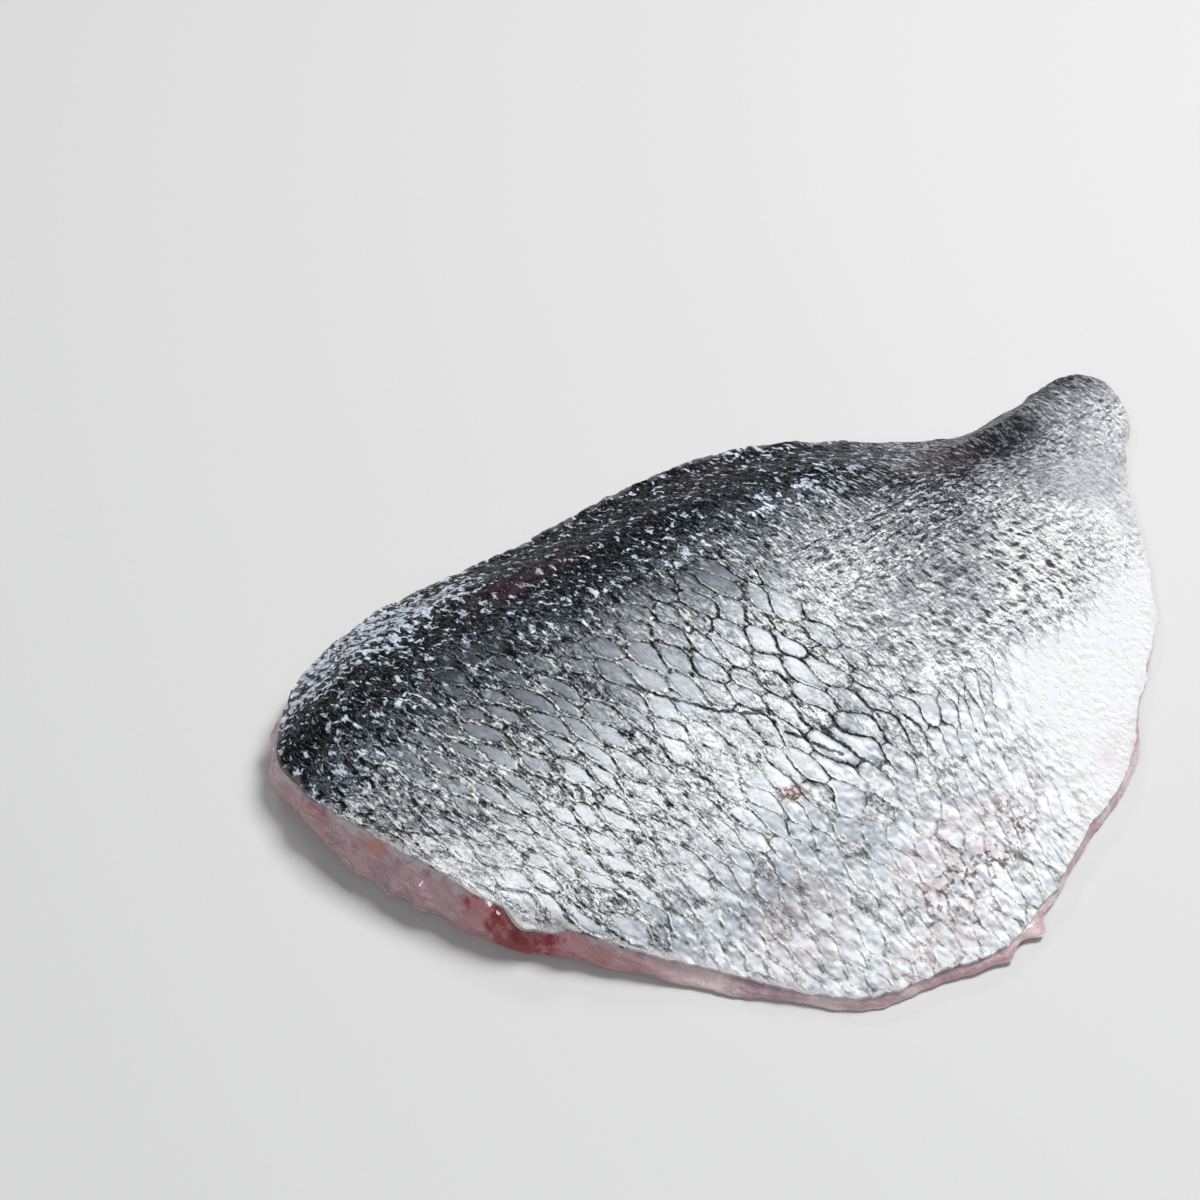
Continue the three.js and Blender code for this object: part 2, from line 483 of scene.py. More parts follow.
# How light the skin is across the body, from the belly to the back (0 black, 1 white), as far as
# the tail. Nearer the tail the same change is squeezed around a line that wanders.
LIGHTNESS_ACROSS = [
    (-105, 0.93), (-62, 0.88), (-40, 0.88), (-15, 0.82), (0, 0.67), (8, 0.5), (16, 0.26), (28, 0), (56, 0)
]
LIGHTNESS_LIMITS = (0.02, 0.93)
SQUEEZE = [(130, 1), (160, 1.3), (180, 2.4), (200, 2.7), (220, 1.5)]
SQUEEZE_LINE = [(130, 0), (160, -16.5), (180, -6), (200, -3), (220, 3)]
TAIL_LIMIT = [(140, 60), (165, 17), (245, 19)]

# Stretches over which one look fades into the next.
NET_END = (98, 120)  # along
TAIL_START = (172, 204)  # along
BELLY_START = (38, 50)  # across, counted towards the belly
CLEAN_START = (118, 146)  # along, for the smooth white belly

# Soft marks: strength, place (along, across) and size (length, width).
# Marks that make the skin lighter or darker. Most are its own lighter and darker patches. Some are
# painted light that lifts places the lamps leave darker, such as the flank at (48, -29) and the belly's
# lower edge at (120, -85).
TONE_AND_PAINTED_LIGHT_MARKS = [
    (0.1, (34, 49), (24, 7)),
    (0.05, (150, 34), (16, 8)),
    (0.16, (3, -22), (8, 10)),
    (0.1, (98, -14), (16, 10)),
    (0.1, (48, -29), (24, 12)),
    (0.05, (128, 10), (24, 9)),
    (0.1, (178, -31), (14, 8)),
    (-0.1, (202, -14), (14, 6)),
    (0.14, (120, -85), (13, 9)),
    (0.14, (160, 2), (9, 8)),
    (-0.1, (60, -61), (18, 6)),
    (-0.16, (20, -49), (9, 8)),
    (-0.13, (126, -29), (15, 8)),
    (-0.17, (190, 1), (20, 8)),
    (-0.12, (160, -18), (24, 10)),
    (-0.05, (62, -6), (24, 8)),
    (-0.07, (21, -4), (9, 11)),
    (0.06, (92, -90), (20, 5)),
    (0.12, (2, 12), (6, 9)),
    (-0.07, (163, 14), (9, 5)),
]
SPARKLE_MARKS = [
    (0.4, (34, 46), (20, 8)),
    (-0.45, (50, 28), (58, 9)),
    (-0.55, (96, 45), (24, 8)),
    (-0.3, (150, 30), (24, 8)),
]
WINDOW_MARKS = [(0.8, (36, 18), (8, 5)), (0.7, (118, 24), (4, 4))]
FAINT_NET_MARKS = [(0.45, (46, -38), (22, 9)), (0.6, (67, -22), (5.5, 12))]
FOLD_MARKS = [(1, (80, -56), (22, 5.5)), (0.7, (52, -61), (16, 4)), (0.6, (29, -52), (10, 6))]
PINK_MARKS = [
    (1, (94, -76), (14, 4.5)),
    (0.7, (48, -70), (9, 6)),
    (1, (66, -91), (11, 3.5)),
    (0.8, (146, -79), (12, 3)),
    (0.8, (74, -78), (2.5, 5)),
]
# Purple-brown tints. Some are the skin's own; the one at (178, 7) is painted shadow and reddish
# reflection cast by a neighbouring fillet.
PURPLE_AND_SHADOW_MARKS = [(1, (66, 35), (12, 2.6)), (0.7, (130, 41), (7, 2.6)), (0.8, (178, 7), (8, 4))]
RUST_MARKS = [(1, (84, -82.5), (13, 3.5)), (0.8, (104, -78), (3, 3))]
FROST_MARKS = [(0.5, (5, -22), (7, 10))]
SORE_MARKS = [(1, (69.5, -45.5), (2.2, 1.2))]

# What each vector attribute of the skin's mesh holds.
SKIN_ATTRIBUTES = {
    "body": ("along", "across", "height"),
    "lattice": ("column", "row", "width"),
    "pockets": ("swell", "scribble", "tall"),
    "shade": ("light", "grit", "window_zone"),
    "lines": ("net", "streak", "dashes"),
    "areas": ("dorsal", "sparkle", "belly"),
    "tints": ("pink", "purple"),
    "rim": ("edge_gap", "beside_head"),
}


def mark(along, across, at, size):
    """A soft mark of height 1 at a place, with a length and a width, on arrays or shader values."""
    x, y = (along - at[0]) * (1 / size[0]), (across - at[1]) * (1 / size[1])
    return 1 - smooth(0, 4, x * x + y * y)


def marks(along, across, table):
    """Several soft marks added up."""
    return sum(strength * mark(along, across, at, size) for strength, at, size in table)


def lightness(along, across):
    waver = 3.5 * noise(26, along, across, seed=21) + 2.5 * noise(9, along, across, seed=22)
    wandering = across + waver * (1 - 0.6 * smooth(150, 180, along))
    squeezed = (wandering - along_profile(SQUEEZE_LINE, along)) * along_profile(SQUEEZE, along)
    light = along_profile(LIGHTNESS_ACROSS, np.minimum(squeezed, along_profile(TAIL_LIMIT, along)))
    light = light + 0.07 * smooth(108, 142, along) * smooth(30, 50, -across)
    # own lighter and darker patches, plus painted light where the lamps leave the skin darker
    light = light + marks(along, across, TONE_AND_PAINTED_LIGHT_MARKS)
    blotch = 0.05 * noise(12, along, across, seed=23) + 0.04 * noise(5, along, across, seed=24)
    light = light + blotch * (1 - 0.7 * smooth(120, 150, along) * smooth(35, 50, -across))
    return np.clip(light, *LIGHTNESS_LIMITS)


def window_amount(along, across, wavy, behind, low):
    """Where the smooth grey windows inside the pockets show."""
    amount = (1 - 0.9 * behind * (1 - low)) * (1 - 0.95 * smooth(5, 15, wavy)) * smooth(0, 14, along)
    amount = amount * (0.6 + 0.4 * smooth(-0.5, 0.1, noise(11, along, across, seed=26)))
    return amount + marks(along, across, WINDOW_MARKS)


def net_amount(along, across, wavy, behind, low):
    """How strong the dark outlines of the pockets are."""
    amount = 0.62 + 0.2 * smooth(22, 40, along) + 0.28 * smooth(60, 78, along) * (1 - behind)
    amount = amount * (1 - 0.8 * smooth(46, 58, -wavy)) * (1 - 0.7 * smooth(10, 26, wavy))
    for faint in FAINT_NET_MARKS:
        amount = amount * (1 - marks(along, across, [faint]))
    return amount * (1 - behind * (0.88 - 0.9 * low))


def zones(along, across):
    """Fields that say how the skin looks at each place, all from 0 to 1."""
    wavy = across + 4 * noise(20, along, across, seed=25)
    behind, tail, low = smooth(*NET_END, along), smooth(*TAIL_START, along), smooth(*BELLY_START, -wavy)
    clean = smooth(*CLEAN_START, along + (-40 - wavy) * 0.4) * low + 0.7 * tail * smooth(2, 14, -wavy)
    clean = np.clip(clean, 0, 1)
    frosted = 1 - marks(along, across, FROST_MARKS)
    grit = (1 - 0.5 * low) * (1 - 0.35 * tail) * (1 - 0.9 * clean)
    net = net_amount(along, across, wavy, behind, low) * (1 - 0.97 * clean) * (1 - tail)
    fields = {
        "light": lightness(along, across),
        "grit": grit * frosted,
        "window_zone": window_amount(along, across, wavy, behind, low),
        "net": net * frosted,
        "scribble": (1 - 0.7 * smooth(48, 66, along)) * (1 - 0.4 * low) * (1 - smooth(12, 24, wavy)),
        "swell": 0.25 + 0.06 * noise(9, along, across, seed=27),
        "streak": smooth(108, 124, along) * between((-46, -38), (0, 10), wavy),
        "dashes": between((108, 120), (168, 196), along) * between((-45, -38), (-22, -12), wavy),
        "folds": marks(along, across, FOLD_MARKS),
        "pink": marks(along, across, PINK_MARKS),
        "purple": marks(along, across, PURPLE_AND_SHADOW_MARKS),
        "dorsal": smooth(6, 20, wavy) * (1 - smooth(150, 190, along)),
        "sparkle": 0.45 + marks(along, across, SPARKLE_MARKS),
        "belly": low * (1 - clean),
    }
    return {name: np.clip(value, 0, 1) for name, value in fields.items()}


def head_side(along, across):
    """1 beside the head cut and the throat, 0 elsewhere."""
    return 1 - smooth(14, 34, along + (across + 40) * 0.62)


def skin_fields(along, across):
    """All that the skin's relief and material need to know at each place."""
    places = {"along": along, "across": across, "beside_head": head_side(along, across)}
    return {**zones(along, across), **pocket_lattice(along, across), **places}


def pocket_relief(fields):
    """Each pocket is a low flap that rises towards the tail's side, with a groove round it."""
    u, beside, end, cell_column, cell_row = pocket_cell(fields["column"], fields["row"], fields["swell"])
    rim = rounded(np.abs(beside) * fields["width"], end * fields["tall"])
    own = lattice_hash(cell_column, cell_row, seed=5) - 0.5
    flap = 0.5 * u + 0.16 * own + 0.12 * smooth(0, 1.2, rim)
    groove = 0.16 * np.exp(-((rim / 0.4) ** 2))
    scaled = np.clip(fields["net"] * 1.4 + fields["belly"] * 0.8, 0, 1)
    return scaled * np.minimum(1, fields["width"] / 3.5) * (flap - groove)


def skin_relief(along, across, fields):
    """Height of the skin's fine relief over its smooth surface."""
    waves = 0.35 * noise(17, along, across, seed=31) + 0.16 * noise(6, along, across, seed=32)
    grain = noise(2.0, along, across * 0.6, seed=33) + 0.6 * noise(1.2, along, across * 0.7, seed=34)
    grain = grain * (0.03 + (0.06 + 0.14 * fields["dorsal"]) * fields["grit"])
    crease = 1 - np.abs(noise(3.4, along, across * 0.8, seed=37))
    crease = 0.3 * smooth(40, 56, -across) * (1 - smooth(118, 140, along)) * crease**3
    wave = across + 0.12 * along + 2.2 * noise(9, along, across, seed=35)
    folds = np.sin(2 * math.pi * wave / 2.3) * (0.6 + 0.4 * noise(4, along, across, seed=36))
    folds = 0.24 * fields["folds"] * folds
    return waves + pocket_relief(fields) + (1 - 0.8 * fields["window_zone"]) * grain + crease + folds


# ---- meshes ----


def to_world(points):
    """Body coordinates in millimetres to the model's frame in metres."""
    moved = np.array(points, float)
    moved[:, :2] += BODY_ORIGIN
    return moved * MM


def plan_mesh(loop, step, inset):
    """Triangles that fill a closed loop in plan: its own corners first, then an even lattice."""
    rise = step * math.sqrt(3) / 2
    low, high = loop.min(0), loop.max(0)
    across = np.arange(low[1], high[1], rise)
    along = np.arange(low[0], high[0], step)
    grid_along, grid_across = np.meshgrid(along, across)
    grid_along = grid_along + (np.arange(len(across)) % 2)[:, None] * step / 2
    grid = np.stack([grid_along.ravel(), grid_across.ravel()], 1)
    grid = grid[deep_inside(grid, loop, inset)]
    points = np.vstack([loop, grid])
    count = len(loop)
    rim = [(i, (i + 1) % count) for i in range(count)]
    made = delaunay_2d_cdt([Vector(p) for p in points.tolist()], rim, [list(range(count))], 1, 1e-7)
    corners = np.array([tuple(v) for v in made[0]])
    faces = np.array([tuple(f) for f in made[2]])
    a, b, c = (corners[faces[:, k]] for k in range(3))
    turn = (b[:, 0] - a[:, 0]) * (c[:, 1] - a[:, 1]) - (b[:, 1] - a[:, 1]) * (c[:, 0] - a[:, 0])
    faces[turn < 0] = faces[turn < 0][:, ::-1]
    if len(corners) != len(points):
        raise ValueError("the plan's corners were merged")
    return corners, faces


def deep_inside(points, loop, inset):
    """Which points lie inside the loop by more than the inset."""
    own_reach = from_middle(*points.T)[1]
    limit = toward(*points.T, loop, from_middle(*loop.T)[1])
    near = np.nonzero((own_reach < limit) & (own_reach > limit - 12))[0]
    inside = own_reach < limit
    for block in np.array_split(near, max(1, len(near) // 4000)):
        gap = points[block][:, None, :] - loop[None, :, :]
        inside[block] &= (gap**2).sum(2).min(1) > inset**2
    return inside


def add_object(name, data):
    made = bpy.data.objects.new(name, data)
    bpy.context.scene.collection.objects.link(made)
    return made


def add_mesh(name, corners, faces, material):
    mesh = bpy.data.meshes.new(name)
    mesh.from_pydata(to_world(corners).tolist(), [], [f.tolist() for f in faces])
    mesh.validate()
    mesh.shade_smooth()
    mesh.set_sharp_from_angle(angle=CREASE_ANGLE)
    mesh.materials.append(material)
    return add_object(name, mesh)


def add_vectors(mesh, name, *columns):
    """Stores up to three numbers for each corner as a vector attribute."""
    values = np.zeros((len(mesh.vertices), 3), np.float32)
    for axis, column in enumerate(columns):
        values[:, axis] = column
    mesh.attributes.new(name, "FLOAT_VECTOR", "POINT").data.foreach_set("vector", values.ravel())


def store(mesh, attributes, fields):
    """Stores named fields in the mesh's vector attributes."""
    for name, parts in attributes.items():
        add_vectors(mesh, name, *(fields[part] for part in parts))


def ring_faces(lower, upper):
    """Quads between two matching closed loops of corner numbers."""
    return np.stack([lower, np.roll(lower, -1), np.roll(upper, -1), upper], 1)


def ragged_loop(loop, out, seed, bulges=()):
    """A cut edge: the loop pushed in and out by coarse and fine unevenness and by single bulges."""
    along, across = loop[:, 0], loop[:, 1]
    push = 0.45 * noise(7, along, across, seed=seed) + 0.28 * noise(2.2, along, across, seed=seed + 1)
    push = push + 0.12 * noise(1.0, along, across, seed=seed + 2)
    for (at_along, at_across), size, half in bulges:
        push = push + size * np.exp(-((along - at_along) ** 2 + (across - at_across) ** 2) / half**2)
    moved = loop.copy()
    moved[:, :2] += out * push[:, None]
    return moved


flesh_loop = ragged_loop(edge_line, edge_out, seed=41)
skin_loop = ragged_loop(edge_line, edge_out, seed=41, bulges=SKIN_BULGES)


def build_skin():
    """The skin as a closed shell: scaled outside, smooth inside, and a cut rim between them."""
    loop = skin_loop[:, :2]
    outer, outer_faces = plan_mesh(loop, SKIN_STEP, SKIN_STEP * 0.55)
    inner, inner_faces = plan_mesh(loop, HIDDEN_STEP, HIDDEN_STEP * 0.5)
    start, count = len(outer), len(loop)
    along, across = np.vstack([outer, inner]).T
    fields = skin_fields(along, across)

    height = skin_height(along, across)
    height[:start] += skin_relief(along, across, fields)[:start]
    height[start : start + count] = height[:count]
    corners = np.column_stack([along, across, height])
    corners[start:] -= surface_normal(skin_height, *inner.T) * SKIN_THICKNESS

    rim = ring_faces(np.arange(count) + start, np.arange(count))
    faces = [*outer_faces, *(inner_faces[:, ::-1] + start), *rim]
    skin = add_mesh("skin_surface", corners, faces, skin_material())
    fields["height"] = corners[:, 2]
    fields["edge_gap"] = np.concatenate([inside_edge(*outer.T), np.zeros(len(inner))])
    store(skin.data, SKIN_ATTRIBUTES, fields)
    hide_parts("skin")
    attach(skin, "root")
    return skin


# ---- the flesh ----

TALL_CUT = 9  # a cut face that is this high bulges fully, and a lower one less
BLOCK_PITCH = 7.5  # from one sheet between muscle blocks to the next
MIDDLE_LINE = 6  # across, where the sheets are folded and the blood line runs
FOLD = ([0, 14, 30, 60, 110], [0, 9, 2, 14, 24])  # how far a sheet leans, by distance from there
FOLD_BLUR = (-5, -2.5, 0, 2.5, 5)  # the sheets' folds are rounded over this distance
BLOOD_MARKS = [(1, (5, -35), (3.6, 4)), (0.5, (1, -27), (4, 5)), (0.55, (11, -43), (4, 6))]
ORANGE_MARKS = [(1, (-4.5, 0), (2.4, 1.8))]

# What each vector attribute of the flesh's mesh holds.
FLESH_ATTRIBUTES = {
    "body": ("along", "across", "height"),
    "layers": ("depth", "blood", "underside"),
    "muscle": ("phase", "tall", "arc"),
}


def wall_loops():
    """Loops of the cut flesh from the skin's edge down to the foot."""
    top = flesh_loop.copy()
    top[:, 2] -= flap_droop(*flesh_loop[:, :2].T)
    top -= surface_normal(skin_height, *flesh_loop[:, :2].T) * (SKIN_THICKNESS * 0.75)
    foot = ragged_loop(foot_line, edge_out, seed=51, bulges=FLESH_BULGES)
    arc = np.arange(len(top)) * EDGE_STEP
    tall = np.clip((top[:, 2] - foot[:, 2]) / TALL_CUT, 0.12, 1)
    loops = []
    for row in range(WALL_ROWS + 1):
        down = row / WALL_ROWS
        loop = lerp(top, foot, down)
        lobes = 2.4 * noise(10, arc + down * 6, np.full_like(arc, down * 8), seed=61)
        flakes = 0.8 * noise(4.2, arc + down * 8, np.full_like(arc, down * 9), seed=62)
        grain = 0.2 * noise(1.6, arc * 0.7, np.full_like(arc, down * 12), seed=63)
        swell = (0.9 + lobes + flakes + grain) * math.sin(math.pi * down)
        beside_flap = 1 - mark(*loop[:, :2].T, SKIN_FLAP[0], (3.5, 4)) * (1 - down)
        loop[:, :2] += edge_out * (swell * tall * beside_flap)[:, None]
        loops.append(loop)
    return loops


def underside_height(along, across, foot):
    """Height of the flesh's underside: it lies flat, and curls up towards the foot."""
    limit = toward(along, across, foot, from_middle(*foot[:, :2].T)[1])
    curl = toward(along, across, foot, foot[:, 2])
    flat_from = 0.13
    inward = np.clip(1 - from_middle(along, across)[1] / limit, 0, 1)
    return curl * np.clip(1 - inward / flat_from, 0, 1) ** 2


def on_flesh(wall, top, under, on_under=0.0):
    """One value for each corner of the flesh: `wall` goes row by row, and its hidden top gets 0."""
    rows = np.broadcast_to(wall, (WALL_ROWS + 1, len(edge_line)))
    return np.concatenate([rows.ravel(), np.zeros(len(top)), np.full(len(under), on_under)])


def build_flesh():
    """The flesh: hidden top, cut wall and an underside with its muscle blocks."""
    loops = wall_loops()
    count = len(edge_line)
    top, top_faces = plan_mesh(loops[0][:, :2], HIDDEN_STEP, HIDDEN_STEP * 0.5)
    under, under_faces = plan_mesh(loops[-1][:, :2], UNDERSIDE_STEP, UNDERSIDE_STEP * 0.55)
    top, under = top[count:], under[count:]
    top_height = skin_height(*top.T) - SKIN_THICKNESS * 0.9
    under_height = underside_height(*under.T, loops[-1]) + underside_relief(*under.T)
    inner = [np.column_stack([top, top_height]), np.column_stack([under, under_height])]
    corners = np.vstack([*loops, *inner])

    around, foot = np.arange(count), WALL_ROWS * count
    faces = []
    for row in range(WALL_ROWS):
        faces.extend(ring_faces(around + (row + 1) * count, around + row * count))
    top_numbers = np.arange(len(top)) + foot + count
    faces.extend(np.concatenate([around, top_numbers])[top_faces])
    under_numbers = np.arange(len(under)) + foot + count + len(top)
    faces.extend(np.concatenate([around + foot, under_numbers])[under_faces][:, ::-1])
    flesh = add_mesh("flesh_body", corners, faces, flesh_material())

    down = np.arange(WALL_ROWS + 1)[:, None] / WALL_ROWS
    tall = loops[0][:, 2] - loops[-1][:, 2]
    along, across, height = corners.T
    fields = {
        "along": along,
        "across": across,
        "height": height,
        "depth": on_flesh(down * np.maximum(tall, 1), top, under, 14.0),
        "blood": blood_amount(along, across, height),
        "underside": on_flesh(0.6 * (down == 1), top, under, 1.0),
        "phase": muscle_phase(along, across),
        "tall": on_flesh(tall, top, under),
        "arc": on_flesh(around * EDGE_STEP, top, under),
    }
    store(flesh.data, FLESH_ATTRIBUTES, fields)
    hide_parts("flesh")
    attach(flesh, "root")
    return flesh


def muscle_phase(along, across):
    """Counts the muscle blocks. The sheets between them are folded into a W across the body."""
    away = np.abs(across - MIDDLE_LINE)
    fold = sum(np.interp(np.abs(away + shift), *FOLD) for shift in FOLD_BLUR) / len(FOLD_BLUR)
    unevenness = 2.4 * noise(22, along, across, seed=71) + 0.9 * noise(8, along, across, seed=73)
    return (along + fold + unevenness) / BLOCK_PITCH


def underside_relief(along, across):
    """Grooves between muscle blocks and along the middle, which rise off the flat underside."""
    phase = muscle_phase(along, across)
    seam = np.abs(phase - np.round(phase)) * BLOCK_PITCH
    groove = 0.35 * np.exp(-((seam / 0.8) ** 2))
    middle = 0.9 * np.exp(-(((across - MIDDLE_LINE) / 2.2) ** 2)) * smooth(-5, 20, along)
    unevenness = 0.3 + 0.3 * noise(8, along, across, seed=72)
    fade = 1 - np.exp(-((inside_edge(along, across) / 3) ** 2))
    return (groove + middle + unevenness) * fade


def blood_amount(along, across, height):
    """Where blood shows in the flesh: a patch at the head cut and a line along the middle."""
    middle = np.exp(-(((across - MIDDLE_LINE) / 3.5) ** 2)) * between((-5, 10), (180, 230), along)
    return np.clip(marks(along, across, BLOOD_MARKS) + 0.8 * middle * below(height, 2.5), 0, 1)


# ---- node helpers ----


class Shader:
    """A material's node tree with short ways to read attributes and make noise."""

    def __init__(self, name):
        self.material = bpy.data.materials.new(name)
        self.material.use_nodes = True
        self.tree = self.material.node_tree
        self.surface = self.tree.nodes["Principled BSDF"]

    def node(self, kind, inputs, output=0, **settings):
        """A new node with its settings and its inputs. Returns one of its outputs."""
        node = self.tree.nodes.new("ShaderNode" + kind)
        for name, value in settings.items():
            setattr(node, name, value)
        for slot, value in inputs.items():
            plug(self.tree, node.inputs[slot], value)
        return Field(self.tree, node.outputs[output])

    def stored(self, attributes):
        """The values that a mesh stores, by name. The body coordinates are kept as a vector too."""
        values = SimpleNamespace()
        for name, parts in attributes.items():
            vector = self.node("Attribute", {}, "Vector", attribute_name=name)
            split = self.node("SeparateXYZ", {0: vector}).socket.node
            for part, output in zip(parts, split.outputs):
                setattr(values, part, Field(self.tree, output))
            if name == "body":
                self.body = vector
        return values

    def vector(self, x, y, z):
        return self.node("CombineXYZ", {0: x, 1: y, 2: z})

    def stretched(self, vector, x, y, z):
        return self.node("VectorMath", {0: vector, 1: (x, y, z)}, operation="MULTIPLY")

    def moved(self, vector, x, y, z):
        return self.node("VectorMath", {0: vector, 1: (x, y, z)}, operation="ADD")

    def other(self, vector, by):
        """The same vector shifted far, so that its noise is different."""
        return self.moved(vector, by, by * 0.7, -by) if by else vector

    def scaled(self, vector, factor):
        return self.node("VectorMath", {0: vector, "Scale": factor}, operation="SCALE")

    def noise(self, vector, size, detail=2.0, roughness=0.5, distortion=0.0):
        """Noise from 0 to 1 with features about `size` across."""
        inputs = {"Vector": vector, "Scale": 1 / size, "Detail": detail}
        inputs.update(Roughness=roughness, Distortion=distortion)
        return self.node("TexNoise", inputs)

    def grain(self, size, shift=0, **look):
        """Noise in the body's own space. Another shift gives another noise."""
        return self.noise(self.other(self.body, shift), size, **look)

    def random(self, vector):
        return self.node("TexWhiteNoise", {"Vector": vector}, "Value")

    def mix(self, share, a, b):
        """Colour a where share is 0, colour b where it is 1."""
        a, b = (colour if isinstance(colour, Field) else (*colour, 1) for colour in (a, b))
        return self.node("Mix", {0: share, 6: a, 7: b}, 2, data_type="RGBA")

    def bump(self, height, strength):
        """A normal from a height in millimetres."""
        return self.node("Bump", {"Height": height, "Strength": strength, "Distance": MM})

    def set(self, **sockets):
        for name, value in sockets.items():
            plug(self.tree, self.surface.inputs[name.replace("_", " ")], value)


# ---- materials ----
#
# In the materials `at` holds the values at the shaded point by name, as the mesh stores them, and
# each step adds its own. Lightness, called tone, is worked out first and turned into colour last.

DARK_TINT = (0.82, 0.96, 1.18)
LIGHT_TINT = (1.0, 1.0, 0.99)
WINDOW_TINT = (0.88, 0.97, 1.12)
WARM_LINE = (0.05, 0.032, 0.022)
OLIVE_BROWN = (0.085, 0.068, 0.042)
BLUSH = (0.56, 0.33, 0.34)
PURPLE_AND_SHADOW = (0.075, 0.035, 0.045)
SKIN_RIM = (0.56, 0.54, 0.56)
SORE = (0.07, 0.022, 0.015)
SORE_PINK = (0.42, 0.24, 0.2)
RUST = (0.12, 0.06, 0.035)
TONE_POWER = 2.25  # turns tone, as the eye sees it, into the brightness of a colour

# Single lines on the skin, from place to place.
PALE_LINES = [((47, 5), (56, 8)), ((56, 8), (80, 9)), ((1, -3), (17, 0))]
PALE_LINE_TONE = 0.62
DARK_CREASES = [((60, -6), (72, -22)), ((72, -22), (79, -28)), ((80, -34), (86, -45))]

DASH_SPACING = 2.7  # along the body
DASH_ROW_SPACING = 4.1
DASH_HALF_SIZE = (0.65, 1.3)
DASH_LEAN = 0.3
DASHES_KEPT = 0.8


def strokes(s, streak, size, shift):
    """Fine stroke noise: strokes lie across the body, or along it where streak is 1."""
    shifted = s.other(s.body, shift)
    upright, level = s.stretched(shifted, 1, 0.32, 1), s.stretched(shifted, 0.45, 1, 1)
    upright = s.noise(upright, size, roughness=0.6, distortion=0.25)
    level = s.noise(level, size * 1.2, roughness=0.6, distortion=0.3)
    return lerp(upright, level, streak)


def hairs(stroke, thick):
    """Thin wandering lines: 1 where the stroke noise passes its middle."""
    return 1 - smooth(thick * 0.4, thick * 1.4, abs(stroke - 0.5))


def line(gap, thick):
    """1 on a line of the given half width, 0 off it, from the distance to its middle."""
    return 1 - smooth(0, 1, (abs(gap) - thick * 0.5) / thick)


def wrinkles(s, place, size):
    """Lit and shaded sides of small wrinkles: above 0 where lit, below 0 where shaded."""
    towards_light = s.moved(place, size * 0.3, size * 0.22, 0)
    near, lit = (
        s.noise(s.stretched(point, 1, 0.7, 1), size, roughness=0.65)
        for point in (place, towards_light)
    )
    return lit - near


def dash_rows(s, at):
    """Short soft dark dashes that stand in rows along the body, between 0 and 1."""
    x = at.along / DASH_SPACING + (at.coarse - 0.5) * 2.0
    y = (at.across + (at.coarse - 0.5) * 7) / DASH_ROW_SPACING
    column, row = floor(x + 0.5), floor(y + 0.5)
    own = s.random(s.vector(column, row, 7.0))
    other = s.random(s.vector(column, row, 19.0))
    off_along = (x - column + (own - 0.5) * 0.6) * DASH_SPACING
    off_across = (y - row + (other - 0.5) * 0.4) * DASH_ROW_SPACING
    off_along = (off_along + off_across * DASH_LEAN) * (1 / DASH_HALF_SIZE[0])
    off_across = off_across * (1 / DASH_HALF_SIZE[1])
    far = off_along * off_along + off_across * off_across + (s.grain(0.9) - 0.5) * 3.2
    return (1 - smooth(0.1, 1.6, far)) * below(other, DASHES_KEPT) * (0.5 + own * 0.5)


def trace(at, start, stop, wander, widths):
    """1 on an uneven line between two places, from the squares of its inner and outer widths."""
    along, across = at.along + at.wobble_a * wander, at.across + at.wobble_c * wander
    return 1 - smooth(*widths, squared_distance(along, across, start, stop))


def add_pockets(s, at):
    """The scale pockets: a smooth window, a dark outline and fine lines beside it."""
    _, beside, end, cell_column, cell_row = pocket_cell(
        at.column + at.wobble_a * 0.34, at.row + at.wobble_b * 0.1, at.swell
    )
    beside = beside * at.width
    rim = rounded(abs(beside), end * at.tall * 0.6)
    thin_ended = rounded(abs(beside), end * at.tall * 1.8)
    at.own = s.random(s.vector(cell_column, cell_row, 0.0))

    border = 0.15 + at.scribble * 0.22 + clamp01((at.coarse - 0.45) * 2) * 0.3 + (at.own - 0.5) * 0.24
    at.window = smooth(0.0, 0.22, rim - border) * at.window_zone * (1 - below(at.own, 0.14))

    # A dark line of uneven width on each side, with gaps.
    thick = clamp01((at.coarse - 0.33) * 2.6) * 0.5 * at.net * at.net + 0.11
    gaps = s.grain(4.5, 20, detail=4, roughness=0.65)
    kept = smooth(0.38, 0.5, gaps + at.net * 0.12)
    outline = line(thin_ended, thick) * kept * at.net * (0.65 + 0.35 * smooth(0.4, 0.55, at.medium))
    for start, stop in DARK_CREASES:
        outline = clamp01(outline + trace(at, start, stop, 1.6, (0.04, 0.3)) * kept * 0.8)
    at.outline = outline

    # Thin lines that run beside it, a painted highlight as a lit thread on it, and the painted shadow of
    # the pocket's flap.
    broken = s.grain(2.4, 50)
    first, second = smooth(0.42, 0.52, broken), smooth(0.42, 0.52, 1 - broken)
    hairline = line(beside + 0.5 + at.wobble_b * 1.4, 0.11) * first
    hairline = hairline + line(beside - 0.85 + at.wobble_c * 1.6, 0.11) * second
    at.hairline = clamp01(hairline) * at.scribble * (0.4 + at.net * 0.6)
    thread = line(beside - 0.42 - at.wobble_c * 0.7, 0.17)
    at.thread = thread * (0.35 + 0.65 * first) * clamp01(at.net * 1.6)
    at.shade = (1 - smooth(0.1, 1.5, -beside)) * below(beside, 0) * (at.net + at.belly * 0.5)


